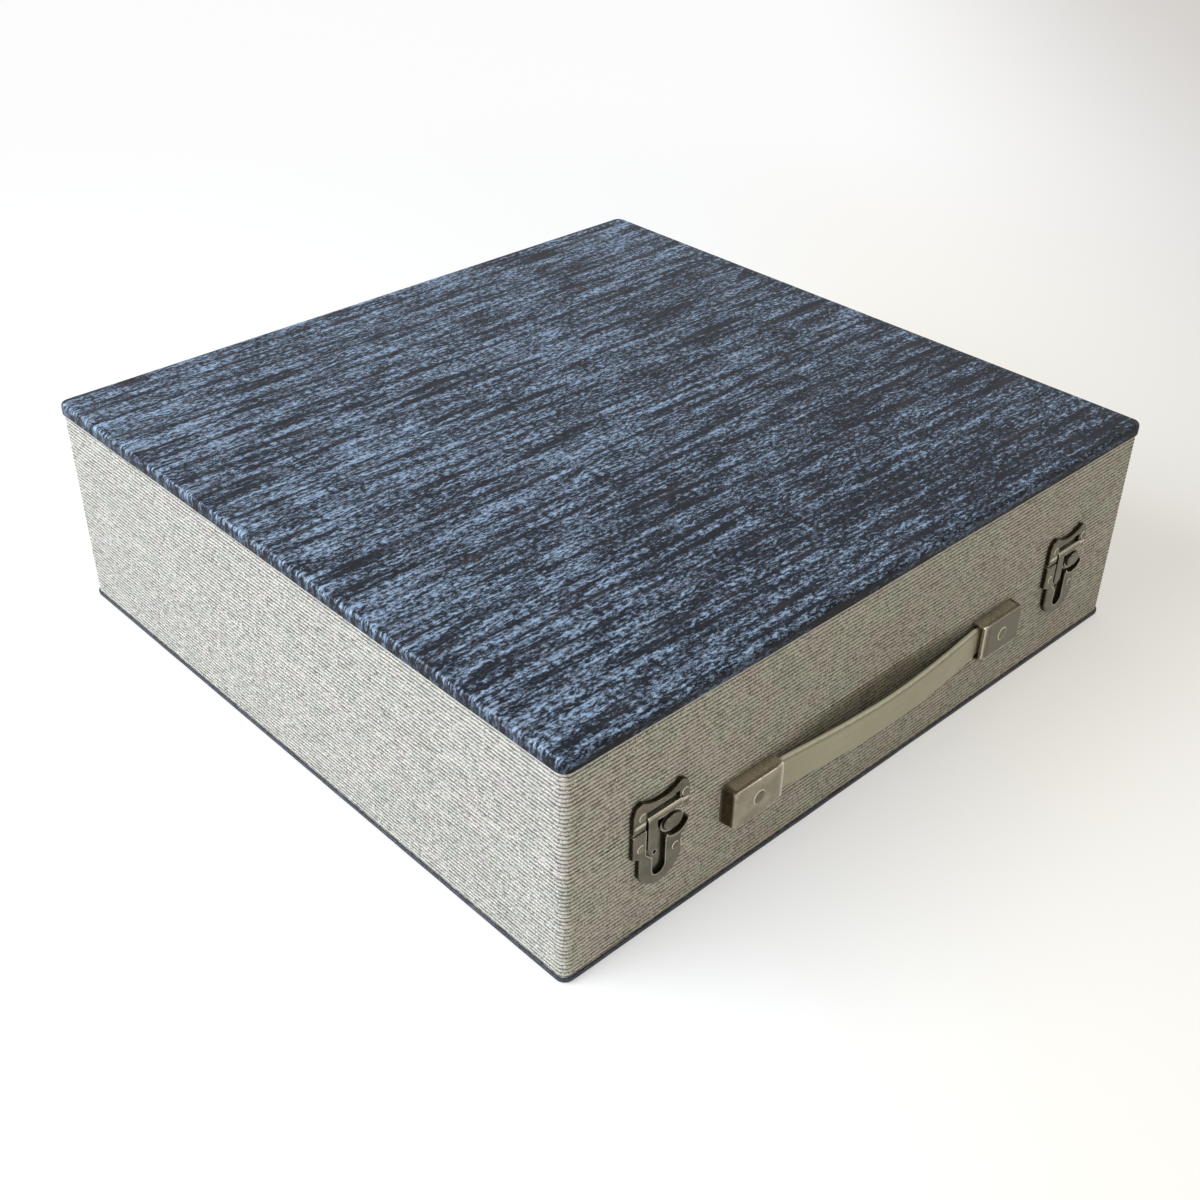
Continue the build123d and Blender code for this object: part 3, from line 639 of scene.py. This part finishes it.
# ---- Papers over the top and under the bottom ----------------------------------------------------
def paper_sheet(name, outside, band, wave, material, body, slot_name, node):
    """A sheet over a flat face, folded down over the cloth's edge, with a slightly uneven cut."""
    inward = -1 if outside > seam else 1
    rows = []
    face_rings = 22
    deepest = half_depth - 3 * MM
    for step in range(face_rings):
        share = 1 - step / face_rings
        inset = fold_radius + (deepest - fold_radius) * share ** 1.15
        rows.append((inset, 0.0, -(inset - fold_radius)))
    for angle in quarter(fold_steps):
        rows.append((
            fold_radius * (1 - math.sin(angle)),
            fold_radius * (1 - math.cos(angle)),
            fold_radius * angle,
        ))
    arc = fold_radius * math.pi / 2
    side_rows = 8
    for step in range(1, side_rows + 1):
        level = fold_radius + (band - paper * 0.5 - fold_radius) * step / side_rows
        rows.append((0.0, level, arc + level - fold_radius))
    rows.append((paper * 0.2, band - paper * 0.12, arc + band - fold_radius))
    rows.append((paper * 0.5, band, arc + band - fold_radius))
    rows.append((paper * 1.1, band - paper * 0.2, arc + band - fold_radius))
    profile = np.array(rows)
    count = len(profile)
    run = np.tile(ring_run, (count, 1))
    along = profile[:, 2:3]
    points = np.zeros((count, columns, 3))
    for index, (inset, depth, _) in enumerate(profile):
        flat, _ = ring(inset)
        points[index, :, :2] = flat
        points[index, :, 2] = depth
    waves = noise_at(ring_run * 14, 3.1) * 0.6 + noise_at(ring_run * 45, 8.7) * 0.4
    side_share = np.clip((along - arc) / (band - fold_radius), 0, 1)
    points[:, :, 2] -= side_share * (np.clip(waves, -1, 1) * 0.5 + 0.5) * wave
    face_share = np.clip(-along / (6 * MM), 0, 1)
    x, y = points[:, :, 0], points[:, :, 1]
    unevenness = noise_at(x * 9, y * 9, 5.0) * 0.6 + noise_at(x * 28, y * 28, 9.0) * 0.25
    points[:, :, 2] += face_share * (np.clip(unevenness, -1, 1) * 0.5 + 0.5) * 0.22 * MM
    fold_share = np.exp(-(((along - arc / 2) / (1.2 * MM)) ** 2))
    dents = np.clip(noise_at(run * 60, 2.0) * 0.5 + 0.5, 0, 1) * 0.22 * MM
    points[:, :, :2] -= (fold_share * dents)[:, :, None] * ring_normals[None, :, :]
    start_ring, _ = ring(fold_radius)
    beyond = np.clip(along, 0, None)
    sheet_x = np.where(along > 0, start_ring[None, :, 0] + ring_normals[None, :, 0] * beyond, x)
    sheet_y = np.where(along > 0, start_ring[None, :, 1] + ring_normals[None, :, 1] * beyond, y)
    points[:, :, 2] = outside + inward * points[:, :, 2]
    # wear along the fold with painted highlight: strongest on the left faces, turned to the key light
    left = np.clip(-ring_normals[:, 0] * 1.4 - 0.1, 0, 1)
    front = np.clip(-ring_normals[:, 1], 0, 1) * 0.45
    lit_side_share = np.maximum(np.maximum(left, front), 0.3)[None, :]
    rub = np.exp(-(((along - arc * 0.35) / (0.5 * MM)) ** 2))
    patchy = np.clip(noise_at(run * 35, 6.0) * 1.1 + 0.55, 0, 1)
    wear_and_fold_highlight = np.clip(rub * lit_side_share * patchy * 0.9, 0, 1)
    if inward < 0:
        points = points[:, ::-1]
        sheet_x, sheet_y, wear_and_fold_highlight = sheet_x[:, ::-1], sheet_y[:, ::-1], wear_and_fold_highlight[:, ::-1]
    piece = grid(name, points[:, ::-1], cap_first=True)
    mark(piece, "sheet", sheet_x[:, ::-1], sheet_y[:, ::-1], np.tile(beyond, (1, columns)))
    mark(piece, "wear_and_fold_highlight", wear_and_fold_highlight[:, ::-1], 0.0, 0.0)
    dress(piece, material, body, slot_name, node)


paper_sheet(
    "top_paper", case_height, lid_band, 0.7 * MM, top_paper, "lid", "mottled_paper", "lid_top_covering"
)
paper_sheet(
    "bottom_paper", 0.0, base_band, 0.4 * MM, bottom_paper, "case_base", "charcoal_paper",
    "base_bottom_covering",
)


# ---- Strap of the handle -------------------------------------------------------------------------
strap_middle_x = (grip_low.x + grip_high.x) / 2
strap_z = (grip_low.z + grip_high.z) / 2
strap_height = grip_high.z - grip_low.z
strap_thickness = 2.2 * MM
strap_mouth_flex_x = 60.0 * MM
strap_seam_x = 42.0 * MM
strap_end_x = 74.0 * MM
strap_rest_proud = 2.6 * MM
strap_mid_proud = cloth_face_y - grip_low.y - strap_thickness / 2
inside_cap_thickness = 1.4 * MM
inside_cap_height = 13.8 * MM
strap_edge = 0.9 * MM
strap_crown = 0.12 * MM
strap_row_length = 1.2 * MM


def strap_proud(offset):
    """How far the strap's middle line stands from the cloth, by distance from its centre."""
    share = min(max(1 - offset / (strap_mouth_flex_x + 4 * MM), 0), 1)
    bow = (share * share * (3 - 2 * share)) ** 0.55
    return strap_rest_proud + (strap_mid_proud - strap_rest_proud) * bow


def strap_section(thickness, height):
    """Rounded section of the strap: (outward, up) points with its edges drawn out thin and round."""
    points = []
    half_thickness = thickness / 2
    edge = min(strap_edge, half_thickness * 0.98)
    straight = 7
    for side in (1, -1):
        for step in range(straight + 1):
            up = side * (-1 + 2 * step / straight) * (height / 2 - edge)
            crown = strap_crown * (1 - (up / (height / 2)) ** 2)
            points.append((side * (half_thickness - strap_crown + crown), up))
        for step in range(1, 6):
            angle = step / 6 * math.pi
            points.append((
                side * (half_thickness - strap_crown) * math.cos(angle),
                side * (height / 2 - edge + edge * math.sin(angle)),
            ))
    return np.array(points)


def strap_piece(name, side, start, end, replaced):
    """One stretch of the strap between two distances from its centre, bowed out from the cloth and
    thinner where it runs into its cap.
    """
    steps = round((end - start) / strap_row_length)
    rows = []
    along = []
    across = []
    for step in range(steps + 1):
        offset = start + (end - start) * step / steps
        into_cap = min(max((offset - strap_mouth_flex_x) / (5 * MM), 0), 1)
        into_cap = into_cap * into_cap * (3 - 2 * into_cap)
        thickness = strap_thickness + (inside_cap_thickness - strap_thickness) * into_cap
        height = strap_height + (inside_cap_height - strap_height) * into_cap
        slope = (strap_proud(offset + 0.5 * MM) - strap_proud(offset - 0.5 * MM)) / MM
        length = math.hypot(1, slope)
        normal = (-slope / length, 1 / length)
        section = strap_section(thickness, height)
        x = strap_middle_x + side * (offset + normal[0] * section[:, 0])
        y = cloth_face_y - strap_proud(offset) - normal[1] * section[:, 0]
        z = strap_z + section[:, 1]
        rows.append(np.stack((x, y, z), axis=-1))
        along.append(np.full(len(section), side * offset))
        across.append(section[:, 1])
    points = np.array(rows)
    if side > 0:
        points = points[:, ::-1]
        across = [values[::-1] for values in across]
    piece = grid(name, points)
    mark(piece, "strap", np.array(along), np.array(across), 0.0)
    piece.data.materials.append(vinyl)
    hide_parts(*replaced)
    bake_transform(piece)


for side, word in ((-1, "left"), (1, "right")):
    strap_piece(
        f"{word}_strap_inner", side, 0.0, strap_seam_x,
        ["handle_grip"],
    )
    strap_piece(
        f"{word}_strap_outer", side, strap_seam_x, strap_end_x,
        [f"{word}_strap_link"],
    )


# ---- Finishes of the CAD pieces that show as they are --------------------------------------------
finishes = {
    board: ("base_panel", "lid_panel", "base_wall_frame", "lid_wall_frame"),
    lip_card: ("base_locating_lip",),
    lining: ("base_lining", "lid_lining"),
    nickel: tuple(
        f"{side}_latch_{part}"
        for side in ("left", "right")
        for part in ("upper_plate", "lower_plate", "hasp", "pin")
    ),
    cap_nickel: ("left_handle_cap", "right_handle_cap"),
    rivet_steel: ("base_latch_rivets", "lid_latch_rivets", "handle_rivets", "handle_washers"),
    hinge_steel: ("base_hinge_rivets", "lid_hinge_rivets") + tuple(
        f"{side}_hinge_{part}"
        for side in ("left", "right")
        for part in ("base_leaf", "lid_leaf", "pin")
    ),
    spring_steel: ("handle_spring_core", "left_strap_tongue", "right_strap_tongue"),
}
for material, names in finishes.items():
    for name in names:
        nodes[name].data.materials.clear()
        nodes[name].data.materials.append(material)


# ---- Floor, light and camera ---------------------------------------------------------------------
def floor():
    """A white floor that keeps the object's shadow, with a painted warm tint in that shadow beside it and
    painted shade greying it at the far right.
    """
    size = 30.0
    mesh = bpy.data.meshes.new("floor")
    corners = [(-size, -size, 0), (size, -size, 0), (size, size, 0), (-size, size, 0)]
    mesh.from_pydata(corners, [], [(0, 1, 2, 3)])
    made = bpy.data.objects.new("floor", mesh)
    bpy.context.scene.collection.objects.link(made)
    paint = Paint("floor")
    place = paint.place()
    x, y, _ = paint.split(place)
    away = paint.node("ShaderNodeVectorMath", {0: place}, "Value", operation="LENGTH")
    right = paint.minus(x, y)
    # painted shade: the floor greys towards the far right
    grey = paint.times(paint.step(right, 0.25, 0.95), paint.step(away, 1.38, 2.6, 1.0, 0.0))
    # painted warm tint in the shadow beside the object
    warm = paint.times(paint.step(right, 0.05, 0.3), paint.step(away, 0.4, 0.75, 1.0, 0.0))
    colour = paint.mix(warm, srgb(253, 253, 253), srgb(253, 250, 243))
    colour = paint.mix(grey, colour, srgb(214, 210, 206))
    paint.finish(colour, 0.9, specular=0.1)
    glow = paint.node("ShaderNodeEmission", {"Color": colour, "Strength": 1.0})
    share = paint.times(paint.seen(), paint.step(away, 0.32, 0.85, 0.5, 0.96))
    mixed = paint.node("ShaderNodeMixShader", {0: share, 1: paint.shader.outputs[0], 2: glow})
    output = paint.tree.nodes["Material Output"]
    paint.put(mixed, output.inputs["Surface"])
    mesh.materials.append(paint.material)


def world():
    """Soft room light from the left; seen directly or mirrored, a white wall that darkens overhead."""
    made = bpy.data.worlds.new("room")
    made.use_nodes = True
    bpy.context.scene.world = made
    room = Nodes(made.node_tree)
    background = room.tree.nodes["Background"]
    way = room.node("ShaderNodeTexCoord", {}, "Generated")
    brightest = Vector((-0.78, 0.5, 0.3)).normalized()
    facing = room.node("ShaderNodeVectorMath", {0: way, 1: brightest}, "Value", operation="DOT_PRODUCT")
    light = room.step(facing, -0.9, 0.9, 0.22, 0.62)
    wall = room.step(room.split(way)[2], 0.4, 0.9, 0.97, 0.35)
    strength = room.node("ShaderNodeMix", {"Factor": room.seen(), "A": light, "B": wall}, "Result")
    room.put(strength, background.inputs["Strength"])
    room.put(srgb(254, 253, 252), background.inputs["Color"])


def area_light(name, place, target, width, height, power, colour):
    """A rectangular lamp that faces its target."""
    lamp = bpy.data.lights.new(name, "AREA")
    lamp.shape = "RECTANGLE"
    lamp.size = width
    lamp.size_y = height
    lamp.energy = power
    lamp.color = colour
    made = bpy.data.objects.new(name, lamp)
    made.location = place
    made.rotation_euler = (Vector(target) - Vector(place)).to_track_quat("-Z", "Y").to_euler()
    bpy.context.scene.collection.objects.link(made)


floor()
world()
area_light("key", (-1.8, 0.7, 1.35), (0, 0, 0.05), 1.8, 1.5, 68.0, (0.91, 0.965, 1.0))
area_light("fill", (-0.5, -2.1, 1.5), (0, 0, 0.05), 0.7, 0.45, 4.0, (1.0, 0.97, 0.9))
area_light("glint", (1.5, -1.7, 1.55), (0, -0.17, 0.05), 0.4, 0.3, 3.0, (1.0, 0.98, 0.94))

# the camera, matched to the photograph's edges
camera_place = Vector((-0.42026, -0.44223, 0.41765))
camera_azimuth = math.radians(-43.69)
camera_elevation = math.radians(34.3)
camera_roll = math.radians(0.86)
camera = bpy.data.objects.new("camera", bpy.data.cameras.new("camera"))
camera.data.sensor_width = 36.0
camera.data.lens = 46.25
backward = Vector((
    math.sin(camera_azimuth) * math.cos(camera_elevation),
    -math.cos(camera_azimuth) * math.cos(camera_elevation),
    math.sin(camera_elevation),
))
sideways = Vector((math.cos(camera_azimuth), math.sin(camera_azimuth), 0))
upward = backward.cross(sideways)
turn = Matrix((sideways, upward, backward)).transposed().to_4x4()
camera.matrix_world = Matrix.Translation(camera_place) @ turn @ Matrix.Rotation(camera_roll, 4, "Z")
bpy.context.scene.collection.objects.link(camera)
bpy.context.scene.camera = camera
bpy.context.scene.view_settings.view_transform = "Standard"
